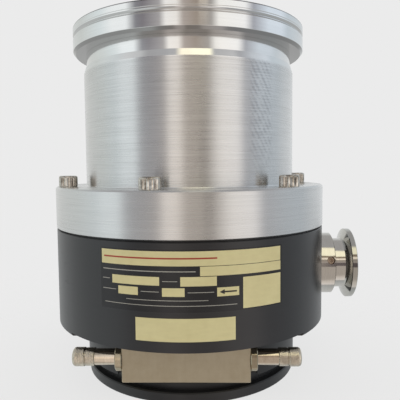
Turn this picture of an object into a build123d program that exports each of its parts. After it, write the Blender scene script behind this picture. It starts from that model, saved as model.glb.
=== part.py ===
from build123d import *
import math
import os

# Compound turbomolecular pump. Millimetres, +Z up along the rotor axis.
# Origin: centre of the underside of the base plate. The cooling block and the
# name plates face -Y, the exhaust port points along +X.

os.makedirs("parts", exist_ok=True)

# ---------------------------------------------------------------- dimensions
TOP_Z = 190.5          # sealing face of the inlet flange
FLANGE_R = 65.0        # DN100 ISO-K flange, 130 mm across
FLANGE_UNDER_Z = 176.7
INLET_R = 51.0         # DN100 bore, 102 mm
NECK_R = 58.0
CYL_R = 59.5
CYL_TOP_Z = 166.3
COLLAR_R = 76.3
COLLAR_TOP_Z = 104.4
COLLAR_Z = 82.5        # joint between envelope and body housing
STACK_R = 54.5         # bore that holds the stator stack
STACK_FIT = 54.4

BODY_R = 76.1
BODY_Z = 30.1
RELIEF_Y = -49.0       # front relief under the body, for the cooling block
RELIEF_Z = 31.6
GALLERY_R = 62.0
FLOOR_Z = 46.0

BASE_R = 60.3
BASE_Z = 9.6
PLATE_R = 59.7
PLATE_RIM_Z = 5.3
GROOVE_R = 56.0

SCREW_PCD_R = 69.5     # six M6 collar screws
SCREW_AZ = -102.6
SCREW_HEAD_R = 5.0
SCREW_HEAD_H = 6.0

PORT_Z = 57.3          # exhaust port axis
PORT_FACE_X = 93.8
PORT_RIM_R = 20.0      # 40 mm small flange
PORT_STUB_R = 17.6
PORT_NECK_R = 14.25
PORT_BORE_R = 12.0
PORT_SEAT_R = 13.1

BLOCK_HALF = 31.0
BLOCK_FRONT = -61.0
BLOCK_BACK = -46.0
BLOCK_Z0, BLOCK_Z1 = 11.2, 31.5
BARB_Y, BARB_Z = -55.0, 21.8

HUB_R = 24.0
TIP_R = 50.7
SHAFT_R = 8.0
SKIRT_RO, SKIRT_RI = 47.6, 45.8

VENT_AZ, VENT_Z = 120.0, 57.0
PURGE_AZ, PURGE_Z = 60.0, 55.0
SOCKET_Z = 19.85

# rotor rows: bottom z, top z, blades, thickness, chord, tilt from the axis
ROTOR_ROWS = [
    (142.2, 155.0, 20, 1.4, 14.8, 38.0),
    (124.7, 132.5, 24, 1.2, 9.3, 42.0),
    (110.7, 117.0, 28, 1.1, 8.1, 48.0),
    (99.0, 104.0, 28, 1.1, 6.7, 55.0),
]
# stator rows: bottom z, top z, blades, thickness, chord, tilt
STATOR_ROWS = [
    (133.5, 141.0, 20, 1.0, 8.0, -40.0),
    (118.0, 123.5, 24, 0.9, 6.2, -44.0),
    (105.0, 109.5, 24, 0.9, 5.4, -50.0),
]
SPACERS = [(141.0, 164.0), (123.5, 133.5), (109.5, 118.0), (98.0, 105.0)]


# ---------------------------------------------------------------- envelope
# Inlet flange, neck, cylinder and bolting collar turned from one piece.
with BuildPart() as envelope:
    with BuildSketch(Plane.XZ):
        with BuildLine():
            Polyline(
                (INLET_R, TOP_Z), (FLANGE_R - 0.35, TOP_Z), (FLANGE_R, TOP_Z - 0.35),
                (FLANGE_R, 187.4), (64.8, 187.2), (FLANGE_R, 187.0),
                (FLANGE_R, 186.5), (64.1, 185.6), (64.1, 185.25), (FLANGE_R, 184.3),
                (FLANGE_R, 178.2), (63.6, FLANGE_UNDER_Z), (NECK_R, FLANGE_UNDER_Z),
                (NECK_R, 169.6), (58.55, 169.5), (CYL_R, CYL_TOP_Z), (CYL_R, 105.1), (CYL_R + 0.2, 104.6), (CYL_R + 0.7, COLLAR_TOP_Z),
                (COLLAR_R - 0.8, COLLAR_TOP_Z), (COLLAR_R, COLLAR_TOP_Z - 0.8),
                (COLLAR_R, COLLAR_Z + 0.15), (COLLAR_R - 0.15, COLLAR_Z),
                (STACK_R, COLLAR_Z), (STACK_R, 172.0), (50.0, 172.0), (50.0, 176.0),
                (INLET_R, 176.0), (INLET_R, 177.2), (INLET_R + 1.2, 177.2),
                (INLET_R + 1.2, 178.5), (INLET_R, 178.5),
                close=True,
            )
        make_face()
    revolve(axis=Axis.Z)
    with BuildSketch(Plane.XY.offset(COLLAR_Z)):
        with PolarLocations(SCREW_PCD_R, 6, start_angle=SCREW_AZ):
            Circle(3.3)
    extrude(amount=COLLAR_TOP_Z - COLLAR_Z, mode=Mode.SUBTRACT)
envelope.part.label = "envelope"
export_step(envelope.part, "parts/envelope.step")

# M6 socket-head cap screws on the collar
with BuildPart() as envelope_screws:
    with BuildSketch(Plane.XY.offset(COLLAR_TOP_Z)):
        with PolarLocations(SCREW_PCD_R, 6, start_angle=SCREW_AZ):
            Circle(SCREW_HEAD_R)
    extrude(amount=SCREW_HEAD_H)
    chamfer(envelope_screws.edges().filter_by(GeomType.CIRCLE).group_by(Axis.Z)[-1], 0.5)
    with BuildSketch(Plane.XY.offset(COLLAR_TOP_Z)):
        with PolarLocations(SCREW_PCD_R, 6, start_angle=SCREW_AZ):
            Circle(2.95)
    extrude(amount=-37.0)
    with BuildSketch(Plane.XY.offset(COLLAR_TOP_Z + SCREW_HEAD_H)):
        with PolarLocations(SCREW_PCD_R, 6, start_angle=SCREW_AZ):
            RegularPolygon(2.89, 6)
    extrude(amount=-3.2, mode=Mode.SUBTRACT)
envelope_screws.part.label = "envelope_screws"
export_step(envelope_screws.part, "parts/envelope_screws.step")

with BuildPart() as envelope_oring:
    with BuildSketch(Plane.XZ):
        with Locations((60.5, 81.25)):
            Circle(1.2)
    revolve(axis=Axis.Z)
envelope_oring.part.label = "envelope_oring"
export_step(envelope_oring.part, "parts/envelope_oring.step")

# ---------------------------------------------------------------- inlet
SCREEN_PITCH, SCREEN_HOLE = 5.4, 4.6
screen_points = [
    (i * SCREEN_PITCH, j * SCREEN_PITCH)
    for i in range(-9, 10)
    for j in range(-9, 10)
    if math.hypot(i * SCREEN_PITCH, j * SCREEN_PITCH) < 44.8
]
with BuildPart() as inlet_screen:
    with BuildSketch(Plane.XY.offset(176.0)):
        Circle(50.9)
        with Locations(*screen_points):
            Rectangle(SCREEN_HOLE, SCREEN_HOLE, mode=Mode.SUBTRACT)
    extrude(amount=0.9)
inlet_screen.part.label = "inlet_screen"
export_step(inlet_screen.part, "parts/inlet_screen.step")

# internal retaining ring, open at one side, with an eye at each end
with BuildPart() as screen_clip:
    with BuildSketch(Plane.XY.offset(177.25)):
        Circle(52.1)
        Circle(49.7, mode=Mode.SUBTRACT)
        with Locations((48.6, 6.5), (48.6, -6.5)):
            Circle(2.3)
        with Locations((50.5, 0.0)):
            Rectangle(8.0, 7.0, mode=Mode.SUBTRACT)
        with Locations((48.6, 6.5), (48.6, -6.5)):
            Circle(0.9, mode=Mode.SUBTRACT)
    extrude(amount=1.15)
screen_clip.part.label = "screen_clip"
export_step(screen_clip.part, "parts/screen_clip.step")

# three-armed carrier of the upper bearing, clamped under the inlet shoulder
with BuildPart() as bearing_spider:
    with BuildSketch(Plane.XZ):
        with BuildLine():
            Polyline(
                (4.2, 144.0), (6.3, 144.0), (6.3, 160.0), (14.2, 160.0), (15.0, 160.8),
                (15.0, 172.0), (9.5, 172.0), (9.5, 161.5), (4.2, 161.5),
                close=True,
            )
        make_face()
        with BuildLine():
            Polyline((51.4, 164.0), (STACK_FIT, 164.0), (STACK_FIT, 172.0), (51.4, 172.0), close=True)
        make_face()
    revolve(axis=Axis.Z)
    with BuildSketch(Plane.XY.offset(164.0)):
        with PolarLocations(33.0, 3, start_angle=30.0):
            Rectangle(38.6, 5.0)
    extrude(amount=7.0)
bearing_spider.part.label = "bearing_spider"
export_step(bearing_spider.part, "parts/bearing_spider.step")

with BuildPart() as spider_cap:
    with BuildSketch(Plane.XZ):
        with BuildLine():
            Polyline(
                (0, 168.6), (9.4, 168.6), (9.4, 172.0), (14.8, 172.0), (14.8, 173.0),
                (13.0, 174.4), (0, 174.4),
                close=True,
            )
        make_face()
    revolve(axis=Axis.Z)
    with BuildSketch(Plane.XY.offset(174.4)):
        with PolarLocations(9.0, 2):
            Circle(1.2)
    extrude(amount=-1.6, mode=Mode.SUBTRACT)
spider_cap.part.label = "spider_cap"
export_step(spider_cap.part, "parts/spider_cap.step")

# permanent-magnet bearing: stator rings on the spider stem
with BuildPart() as stator_magnets:
    for z0 in (145.0, 148.6, 152.2):
        with BuildSketch(Plane.XY.offset(z0)):
            Circle(9.2)
            Circle(6.4, mode=Mode.SUBTRACT)
        extrude(amount=3.4)
stator_magnets.part.label = "stator_magnets"
export_step(stator_magnets.part, "parts/stator_magnets.step")

# touchdown bearing inside the spider hub
TD_Z = 164.1
with BuildPart() as touchdown_outer_race:
    with BuildSketch(Plane.XZ):
        with Locations((8.4, TD_Z)):
            Rectangle(2.0, 5.0)
        with Locations((6.2, TD_Z)):
            Circle(1.35, mode=Mode.SUBTRACT)
    revolve(axis=Axis.Z)
touchdown_outer_race.part.label = "touchdown_outer_race"
export_step(touchdown_outer_race.part, "parts/touchdown_outer_race.step")

with BuildPart() as touchdown_inner_race:
    with BuildSketch(Plane.XZ):
        with Locations((4.2, TD_Z)):
            Rectangle(1.8, 5.0)
        with Locations((6.2, TD_Z)):
            Circle(1.35, mode=Mode.SUBTRACT)
    revolve(axis=Axis.Z)
touchdown_inner_race.part.label = "touchdown_inner_race"
export_step(touchdown_inner_race.part, "parts/touchdown_inner_race.step")

with BuildPart() as touchdown_balls:
    with Locations((0, 0, TD_Z)):
        with PolarLocations(6.2, 11):
            Sphere(1.25)
touchdown_balls.part.label = "touchdown_balls"
export_step(touchdown_balls.part, "parts/touchdown_balls.step")

# ---------------------------------------------------------------- stator stack
# each bladed stator row is two half rings, fitted round the rotor
for number, (z0, z1, count, thick, chord, tilt) in enumerate(STATOR_ROWS, 1):
    with BuildPart() as stator_row:
        with Locations((0, 0, (z0 + z1) / 2)):
            with PolarLocations(39.0, count):
                Box(26.0, thick, chord, rotation=(tilt, 0, 0))
        with BuildSketch(Plane.XY.offset(z0)):
            Circle(STACK_FIT)
            Circle(51.2, mode=Mode.SUBTRACT)
            Circle(27.4)
            Circle(25.6, mode=Mode.SUBTRACT)
        extrude(amount=z1 - z0)
        with Locations((0, 0, (z0 + z1) / 2)):
            Box(120.0, 0.3, 20.0, rotation=(0, 0, 180.0 / count), mode=Mode.SUBTRACT)
    stator_row.part.label = f"stator_row_{number}"
    export_step(stator_row.part, f"parts/stator_row_{number}.step")

for number, (z0, z1) in enumerate(SPACERS, 1):
    with BuildPart() as spacer_ring:
        with BuildSketch(Plane.XY.offset(z0)):
            Circle(STACK_FIT)
            Circle(51.3, mode=Mode.SUBTRACT)
        extrude(amount=z1 - z0)
    spacer_ring.part.label = f"spacer_ring_{number}"
    export_step(spacer_ring.part, f"parts/spacer_ring_{number}.step")

# molecular drag stage: sleeve with slanting pumping channels
with BuildPart() as drag_stator:
    with BuildSketch(Plane.XY.offset(66.0)):
        Circle(STACK_FIT)
        Circle(48.2, mode=Mode.SUBTRACT)
    extrude(amount=32.0)
    with Locations((0, 0, 82.0)):
        with PolarLocations(49.0, 14):
            Box(5.0, 9.0, 52.0, rotation=(28.0, 0, 0), mode=Mode.SUBTRACT)
drag_stator.part.label = "drag_stator"
export_step(drag_stator.part, "parts/drag_stator.step")

# ---------------------------------------------------------------- rotor
with BuildPart() as turbo_rotor:
    for z0, z1, count, thick, chord, tilt in ROTOR_ROWS:
        with Locations((0, 0, (z0 + z1) / 2)):
            with PolarLocations(37.0, count):
                Box(30.0, thick, chord, rotation=(tilt, 0, 0))
    Cylinder(TIP_R, 400.0, mode=Mode.INTERSECT)
    with BuildSketch(Plane.XZ):
        with BuildLine():
            Polyline(
                (SHAFT_R, 94.5), (SKIRT_RI, 94.5), (SKIRT_RI, 64.0), (SKIRT_RO, 64.0),
                (SKIRT_RO, 98.0), (HUB_R, 98.0), (HUB_R, 152.5), (21.5, 156.0),
                (13.0, 156.0), (13.0, 143.0), (SHAFT_R, 143.0),
                close=True,
            )
        make_face()
    revolve(axis=Axis.Z)
turbo_rotor.part.label = "turbo_rotor"
export_step(turbo_rotor.part, "parts/turbo_rotor.step")

with BuildPart() as rotor_shaft:
    with BuildSketch(Plane.XZ):
        with BuildLine():
            Polyline(
                (0, 33.0), (4.5, 33.0), (5.0, 33.5), (5.0, 45.0), (SHAFT_R - 0.02, 45.0),
                (SHAFT_R - 0.02, 142.9), (3.0, 142.9), (3.0, 165.4), (2.4, 166.0), (0, 166.0),
                close=True,
            )
        make_face()
    revolve(axis=Axis.Z)
rotor_shaft.part.label = "rotor_shaft"
export_step(rotor_shaft.part, "parts/rotor_shaft.step")

with BuildPart() as rotor_magnets:
    for z0 in (143.4, 147.0, 150.6):
        with BuildSketch(Plane.XY.offset(z0)):
            Circle(12.95)
            Circle(10.2, mode=Mode.SUBTRACT)
        extrude(amount=3.4)
rotor_magnets.part.label = "rotor_magnets"
export_step(rotor_magnets.part, "parts/rotor_magnets.step")

with BuildPart() as motor_magnet:
    with BuildSketch(Plane.XY.offset(62.0)):
        Circle(17.4)
        Circle(SHAFT_R, mode=Mode.SUBTRACT)
    extrude(amount=22.0)
    chamfer(motor_magnet.edges().filter_by(GeomType.CIRCLE).sort_by(SortBy.RADIUS)[-2:], 0.6)
motor_magnet.part.label = "motor_magnet"
export_step(motor_magnet.part, "parts/motor_magnet.step")

# ---------------------------------------------------------------- lower bearing
BRG_Z, BALL_R, BALL_PCR, BALLS = 41.5, 2.0, 9.25, 9
with BuildPart() as bearing_inner_race:
    with BuildSketch(Plane.XZ):
        with Locations((6.31, BRG_Z)):
            Rectangle(2.58, 7.0)
        with Locations((BALL_PCR, BRG_Z)):
            Circle(BALL_R + 0.06, mode=Mode.SUBTRACT)
    revolve(axis=Axis.Z)
bearing_inner_race.part.label = "bearing_inner_race"
export_step(bearing_inner_race.part, "parts/bearing_inner_race.step")

with BuildPart() as bearing_outer_race:
    with BuildSketch(Plane.XZ):
        with Locations((11.95, BRG_Z)):
            Rectangle(2.1, 7.0)
        with Locations((BALL_PCR, BRG_Z)):
            Circle(BALL_R + 0.06, mode=Mode.SUBTRACT)
    revolve(axis=Axis.Z)
bearing_outer_race.part.label = "bearing_outer_race"
export_step(bearing_outer_race.part, "parts/bearing_outer_race.step")

with BuildPart() as bearing_balls:
    with Locations((0, 0, BRG_Z)):
        with PolarLocations(BALL_PCR, BALLS):
            Sphere(BALL_R)
bearing_balls.part.label = "bearing_balls"
export_step(bearing_balls.part, "parts/bearing_balls.step")

with BuildPart() as bearing_cage:
    with BuildSketch(Plane.XY.offset(38.4)):
        Circle(10.2)
        Circle(8.3, mode=Mode.SUBTRACT)
    extrude(amount=6.2)
    with Locations((0, 0, BRG_Z)):
        with PolarLocations(BALL_PCR, BALLS):
            Cylinder(BALL_R + 0.12, 6.0, rotation=(0, 90, 0), mode=Mode.SUBTRACT)
bearing_cage.part.label = "bearing_cage"
export_step(bearing_cage.part, "parts/bearing_cage.step")

with BuildPart() as shaft_nut:
    with BuildSketch(Plane.XY.offset(33.9)):
        RegularPolygon(7.5, 6)
        Circle(5.02, mode=Mode.SUBTRACT)
    extrude(amount=4.0)
shaft_nut.part.label = "shaft_nut"
export_step(shaft_nut.part, "parts/shaft_nut.step")

with BuildPart() as bearing_holder:
    with BuildSketch(Plane.XZ):
        with BuildLine():
            Polyline(
                (15.4, 30.6), (26.8, 30.6), (26.8, 34.95), (17.9, 34.95), (17.9, 46.0),
                (11.8, 46.0), (11.8, 45.2), (15.4, 45.2),
                close=True,
            )
        make_face()
    revolve(axis=Axis.Z)
    with BuildSketch(Plane.XY.offset(30.6)):
        with PolarLocations(22.5, 4, start_angle=45.0):
            Circle(3.6)
    extrude(amount=2.6, mode=Mode.SUBTRACT)
    with BuildSketch(Plane.XY.offset(30.6)):
        with PolarLocations(22.5, 4, start_angle=45.0):
            Circle(2.2)
    extrude(amount=4.4, mode=Mode.SUBTRACT)
bearing_holder.part.label = "bearing_holder"
export_step(bearing_holder.part, "parts/bearing_holder.step")

with BuildPart() as bearing_holder_screws:
    with BuildSketch(Plane.XY.offset(30.8)):
        with PolarLocations(22.5, 4, start_angle=45.0):
            Circle(3.4)
    extrude(amount=2.4)
    with BuildSketch(Plane.XY.offset(33.2)):
        with PolarLocations(22.5, 4, start_angle=45.0):
            Circle(1.95)
    extrude(amount=8.8)
    with BuildSketch(Plane.XY.offset(30.8)):
        with PolarLocations(22.5, 4, start_angle=45.0):
            RegularPolygon(1.7, 6)
    extrude(amount=1.4, mode=Mode.SUBTRACT)
bearing_holder_screws.part.label = "bearing_holder_screws"
export_step(bearing_holder_screws.part, "parts/bearing_holder_screws.step")

with BuildPart() as damper_rings:
    with BuildSketch(Plane.XZ):
        with Locations((14.2, 39.9), (14.2, 43.1)):
            Circle(1.15)
    revolve(axis=Axis.Z)
damper_rings.part.label = "damper_rings"
export_step(damper_rings.part, "parts/damper_rings.step")

with BuildPart() as preload_spring:
    with BuildSketch(Plane.XZ):
        with BuildLine():
            Polyline((11.0, 37.6), (13.2, 37.05), (13.2, 37.4), (11.0, 37.95), close=True)
        make_face()
    revolve(axis=Axis.Z)
preload_spring.part.label = "preload_spring"
export_step(preload_spring.part, "parts/preload_spring.step")

with BuildPart() as bearing_retainer:
    with BuildSketch(Plane.XY.offset(33.4)):
        Circle(15.35)
        Circle(9.6, mode=Mode.SUBTRACT)
    extrude(amount=3.6)
    with BuildSketch(Plane.XY.offset(33.4)):
        with PolarLocations(12.4, 4):
            Circle(1.3)
    extrude(amount=2.2, mode=Mode.SUBTRACT)
bearing_retainer.part.label = "bearing_retainer"
export_step(bearing_retainer.part, "parts/bearing_retainer.step")

# ---------------------------------------------------------------- motor
with BuildPart() as motor_housing:
    with BuildSketch(Plane.XZ):
        with BuildLine():
            Polyline(
                (28.0, FLOOR_Z), (40.8, FLOOR_Z), (40.8, 50.0), (38.0, 50.0), (38.0, 92.2),
                (37.2, 93.0), (12.0, 93.0), (12.0, 91.2), (34.0, 91.2), (34.0, 50.0), (28.0, 50.0),
                close=True,
            )
        make_face()
    revolve(axis=Axis.Z)
motor_housing.part.label = "motor_housing"
export_step(motor_housing.part, "parts/motor_housing.step")

MOTOR_SLOTS = 12
with BuildPart() as motor_laminations:
    with BuildSketch(Plane.XY.offset(62.0)):
        Circle(33.9)
        Circle(18.5, mode=Mode.SUBTRACT)
        with PolarLocations(24.5, MOTOR_SLOTS):
            Rectangle(8.6, 4.6, mode=Mode.SUBTRACT)
        with PolarLocations(19.4, MOTOR_SLOTS):
            Rectangle(3.0, 1.6, mode=Mode.SUBTRACT)
    extrude(amount=22.0)
motor_laminations.part.label = "motor_laminations"
export_step(motor_laminations.part, "parts/motor_laminations.step")

with BuildPart() as motor_windings:
    with BuildSketch(Plane.XY.offset(58.0)):
        with PolarLocations(24.5, MOTOR_SLOTS):
            Rectangle(8.0, 4.0)
    extrude(amount=30.0)
    for z0 in (55.6, 84.2):
        with BuildSketch(Plane.XY.offset(z0)):
            Circle(30.0)
            Circle(20.2, mode=Mode.SUBTRACT)
        extrude(amount=6.2)
motor_windings.part.label = "motor_windings"
export_step(motor_windings.part, "parts/motor_windings.step")

# ---------------------------------------------------------------- exhaust port
PORT_AXIS = Axis((0, 0, PORT_Z), (1, 0, 0))
SET_SCREW_X, SET_SCREW_TILT = 79.6, math.radians(14.5)
set_screw_plane = Plane(
    origin=(SET_SCREW_X, 0, PORT_Z),
    x_dir=(1, 0, 0),
    z_dir=(0, -math.cos(SET_SCREW_TILT), math.sin(SET_SCREW_TILT)),
)
with BuildPart() as exhaust_port:
    with BuildSketch(Plane.XZ):
        with BuildLine():
            Polyline(
                (62.5, PORT_Z + PORT_BORE_R), (62.5, PORT_Z + 14.2), (62.8, PORT_Z + 14.5),
                (67.0, PORT_Z + 14.5), (67.0, PORT_Z + 13.0), (69.0, PORT_Z + 13.0),
                (69.0, PORT_Z + 14.5), (73.05, PORT_Z + 14.5), (73.05, PORT_Z + PORT_STUB_R),
                (82.0, PORT_Z + PORT_STUB_R), (82.25, PORT_Z + PORT_STUB_R - 0.25), (82.25, PORT_Z + PORT_NECK_R),
                (88.5, PORT_Z + PORT_NECK_R), (89.2, PORT_Z + PORT_NECK_R + 0.45),
                (90.7, PORT_Z + PORT_RIM_R - 0.4), (91.0, PORT_Z + PORT_RIM_R),
                (93.45, PORT_Z + PORT_RIM_R), (PORT_FACE_X, PORT_Z + PORT_RIM_R - 0.35),
                (PORT_FACE_X, PORT_Z + PORT_SEAT_R), (90.8, PORT_Z + PORT_SEAT_R),
                (90.8, PORT_Z + PORT_BORE_R),
                close=True,
            )
        make_face()
    revolve(axis=PORT_AXIS)
    with BuildSketch(set_screw_plane.offset(13.3)):
        Circle(2.2)
    extrude(amount=6.0, mode=Mode.SUBTRACT)
exhaust_port.part.label = "exhaust_port"
export_step(exhaust_port.part, "parts/exhaust_port.step")

with BuildPart() as exhaust_oring:
    with BuildSketch(Plane.XZ):
        with Locations((68.0, PORT_Z + 13.78)):
            Circle(0.75)
    revolve(axis=PORT_AXIS)
exhaust_oring.part.label = "exhaust_oring"
export_step(exhaust_oring.part, "parts/exhaust_oring.step")

with BuildPart() as exhaust_set_screw:
    with BuildSketch(set_screw_plane.offset(13.4)):
        Circle(2.12)
    extrude(amount=3.1)
    chamfer(exhaust_set_screw.faces().sort_by(lambda f: (f.center() - set_screw_plane.origin).length)[-1].edges(), 0.3)
    with BuildSketch(set_screw_plane.offset(16.5)):
        RegularPolygon(1.35, 6)
    extrude(amount=-2.0, mode=Mode.SUBTRACT)
exhaust_set_screw.part.label = "exhaust_set_screw"
export_step(exhaust_set_screw.part, "parts/exhaust_set_screw.step")

# ---------------------------------------------------------------- side fittings
def radial_plane(azimuth, z):
    a = math.radians(azimuth)
    return Plane(origin=(0, 0, z), x_dir=(0, 0, 1), z_dir=(math.cos(a), math.sin(a), 0))


vent_plane = radial_plane(VENT_AZ, VENT_Z)
purge_plane = radial_plane(PURGE_AZ, PURGE_Z)

# manual vent valve: seat, chamber and gland in a hexagonal fitting
with BuildPart() as vent_valve_body:
    with BuildSketch(vent_plane.offset(63.0)):
        Circle(5.9)
    extrude(amount=12.0)
    with BuildSketch(vent_plane.offset(75.0)):
        RegularPolygon(9.2, 6)
    extrude(amount=5.0)
    with BuildSketch(vent_plane.offset(80.0)):
        Circle(7.5)
    extrude(amount=10.0)
    with BuildSketch(vent_plane.offset(63.0)):
        Circle(2.0)
    extrude(amount=3.5, mode=Mode.SUBTRACT)
    with BuildSketch(vent_plane.offset(66.0)):
        Circle(4.6)
    extrude(amount=18.0, mode=Mode.SUBTRACT)
    with BuildSketch(vent_plane.offset(84.0)):
        Circle(2.55)
    extrude(amount=6.0, mode=Mode.SUBTRACT)
    with Locations(vent_plane.offset(82.6).location):
        Cylinder(1.2, 20.0, rotation=(90, 0, 0), mode=Mode.SUBTRACT)
vent_valve_body.part.label = "vent_valve_body"
export_step(vent_valve_body.part, "parts/vent_valve_body.step")

with BuildPart() as vent_stem:
    with BuildSketch(vent_plane.offset(67.6)):
        Circle(3.6)
    extrude(amount=1.4)
    with BuildSketch(vent_plane.offset(69.0)):
        Circle(2.5)
    extrude(amount=30.0)
    with BuildSketch(vent_plane.offset(90.4)):
        Circle(3.6)
    extrude(amount=3.5)
    with BuildSketch(vent_plane.offset(97.6)):
        Circle(4.5)
    extrude(amount=1.4)
vent_stem.part.label = "vent_stem"
export_step(vent_stem.part, "parts/vent_stem.step")

with BuildPart() as vent_seal:
    with BuildSketch(vent_plane.offset(66.02)):
        Circle(3.9)
    extrude(amount=1.58)
vent_seal.part.label = "vent_seal"
export_step(vent_seal.part, "parts/vent_seal.step")

with BuildPart() as vent_knob:
    with BuildSketch(vent_plane.offset(85.5)):
        Circle(11.0)
        with PolarLocations(11.4, 24):
            Circle(0.9, mode=Mode.SUBTRACT)
        Circle(7.8, mode=Mode.SUBTRACT)
    extrude(amount=8.6)
    with BuildSketch(vent_plane.offset(94.1)):
        Circle(11.0)
        with PolarLocations(11.4, 24):
            Circle(0.9, mode=Mode.SUBTRACT)
        Circle(2.56, mode=Mode.SUBTRACT)
    extrude(amount=3.4)
    with BuildSketch(vent_plane.offset(97.5)):
        Circle(11.0)
        with PolarLocations(11.4, 24):
            Circle(0.9, mode=Mode.SUBTRACT)
        Circle(4.9, mode=Mode.SUBTRACT)
    extrude(amount=2.5)
vent_knob.part.label = "vent_knob"
export_step(vent_knob.part, "parts/vent_knob.step")

with BuildPart() as purge_plug:
    with BuildSketch(purge_plane.offset(66.0)):
        Circle(5.9)
    extrude(amount=9.0)
    with BuildSketch(purge_plane.offset(75.0)):
        Circle(7.6)
    extrude(amount=1.2)
    with BuildSketch(purge_plane.offset(76.2)):
        RegularPolygon(6.9, 6)
    extrude(amount=4.4)
    with BuildSketch(purge_plane.offset(80.6)):
        RegularPolygon(3.4, 6)
    extrude(amount=-3.0, mode=Mode.SUBTRACT)
purge_plug.part.label = "purge_plug"
export_step(purge_plug.part, "parts/purge_plug.step")

# ---------------------------------------------------------------- body housing
# Black body: drag-stage bore, exhaust gallery, motor floor and bearing pocket.
with BuildPart() as body_housing:
    with BuildSketch(Plane.XZ):
        with BuildLine():
            Polyline(
                (27.0, BODY_Z), (BODY_R - 0.5, BODY_Z), (BODY_R, BODY_Z + 0.5), (BODY_R, 81.1),
                (BODY_R - 0.3, 81.4), (74.2, 81.4), (74.2, COLLAR_Z), (61.8, COLLAR_Z),
                (61.8, 80.0), (59.2, 80.0), (59.2, COLLAR_Z), (STACK_R, COLLAR_Z),
                (STACK_R, 66.0), (50.0, 66.0), (50.0, 62.0), (GALLERY_R, 62.0),
                (GALLERY_R, FLOOR_Z), (18.0, FLOOR_Z), (18.0, 35.0), (27.0, 35.0),
                close=True,
            )
        make_face()
    revolve(axis=Axis.Z)
    # relief under the front edge
    with Locations((0, RELIEF_Y - 20.0, RELIEF_Z - 5.0)):
        Box(160.0, 40.0, 10.0, mode=Mode.SUBTRACT)
    with Locations((0, BLOCK_BACK + 0.1 - 10.0, RELIEF_Z - 5.0)):
        Box(63.0, 20.0, 10.0, mode=Mode.SUBTRACT)
    # threaded holes for the collar screws
    with BuildSketch(Plane.XY.offset(66.5)):
        with PolarLocations(SCREW_PCD_R, 6, start_angle=SCREW_AZ):
            Circle(3.0)
    extrude(amount=16.0, mode=Mode.SUBTRACT)
    # threaded holes for the base housing and the bearing holder
    with BuildSketch(Plane.XY.offset(BODY_Z)):
        with PolarLocations(34.0, 6, start_angle=30.0):
            Circle(2.5)
    extrude(amount=12.0, mode=Mode.SUBTRACT)
    with BuildSketch(Plane.XY.offset(35.0)):
        with PolarLocations(22.5, 4, start_angle=45.0):
            Circle(2.0)
    extrude(amount=8.0, mode=Mode.SUBTRACT)
    # exhaust port: spot face and bore into the gallery
    with BuildSketch(Plane.YZ.offset(73.05)):
        with Locations((0, PORT_Z)):
            Circle(17.85)
    extrude(amount=10.0, mode=Mode.SUBTRACT)
    with BuildSketch(Plane.YZ.offset(59.5)):
        with Locations((0, PORT_Z)):
            Circle(14.6)
    extrude(amount=14.0, mode=Mode.SUBTRACT)
    # vent and purge ports
    for side_plane, spot in ((vent_plane, 9.6), (purge_plane, 7.9)):
        with BuildSketch(side_plane.offset(60.0)):
            Circle(6.0)
        extrude(amount=20.0, mode=Mode.SUBTRACT)
        with BuildSketch(side_plane.offset(75.0)):
            Circle(spot)
        extrude(amount=5.0, mode=Mode.SUBTRACT)
body_housing.part.label = "body_housing"
export_step(body_housing.part, "parts/body_housing.step")

# ---------------------------------------------------------------- base housing
plate_screw_spots = [
    (48.0 * math.cos(math.radians(a)), 48.0 * math.sin(math.radians(a)))
    for a in (0, 45, 135, 180, 225, 315)
]
with BuildPart() as base_housing:
    with BuildSketch(Plane.XZ):
        with BuildLine():
            Polyline(
                (40.0, BASE_Z), (BASE_R - 0.5, BASE_Z), (BASE_R, BASE_Z + 0.5), (BASE_R, BODY_Z),
                (0, BODY_Z), (0, 26.5), (40.0, 26.5),
                close=True,
            )
        make_face()
    revolve(axis=Axis.Z)
    # pocket for the cooling block
    with Locations((0, BLOCK_BACK - 15.0, 20.0)):
        Box(70.4, 30.0, 40.0, mode=Mode.SUBTRACT)
    # spot face and bore for the electrical socket
    with Locations((0, 58.0 + 5.0, 20.0)):
        Box(26.0, 10.0, 40.0, mode=Mode.SUBTRACT)
    with BuildSketch(Plane.XZ.offset(-36.0)):
        with Locations((0, SOCKET_Z)):
            Circle(8.7)
    extrude(amount=-24.0, mode=Mode.SUBTRACT)
    with BuildSketch(Plane.XZ.offset(-51.0)):
        with Locations((0, SOCKET_Z)):
            with GridLocations(19.6, 14.0, 2, 2):
                Circle(1.25)
    extrude(amount=-8.0, mode=Mode.SUBTRACT)
    # screws up into the body housing
    with BuildSketch(Plane.XY.offset(26.5)):
        with PolarLocations(34.0, 6, start_angle=30.0):
            Circle(2.75)
    extrude(amount=4.0, mode=Mode.SUBTRACT)
    # screws up from the base plate
    with BuildSketch(Plane.XY.offset(BASE_Z)):
        with Locations(*plate_screw_spots):
            Circle(2.5)
    extrude(amount=12.4, mode=Mode.SUBTRACT)
    # screws out into the cooling block
    with BuildSketch(Plane.XZ.offset(30.0)):
        with Locations((-22.0, 14.6), (22.0, 14.6)):
            Circle(2.2)
    extrude(amount=20.0, mode=Mode.SUBTRACT)
    with BuildSketch(Plane.XZ.offset(25.0)):
        with Locations((-22.0, 14.6), (22.0, 14.6)):
            Circle(4.0)
    extrude(amount=12.0, mode=Mode.SUBTRACT)
base_housing.part.label = "base_housing"
export_step(base_housing.part, "parts/base_housing.step")

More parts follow.
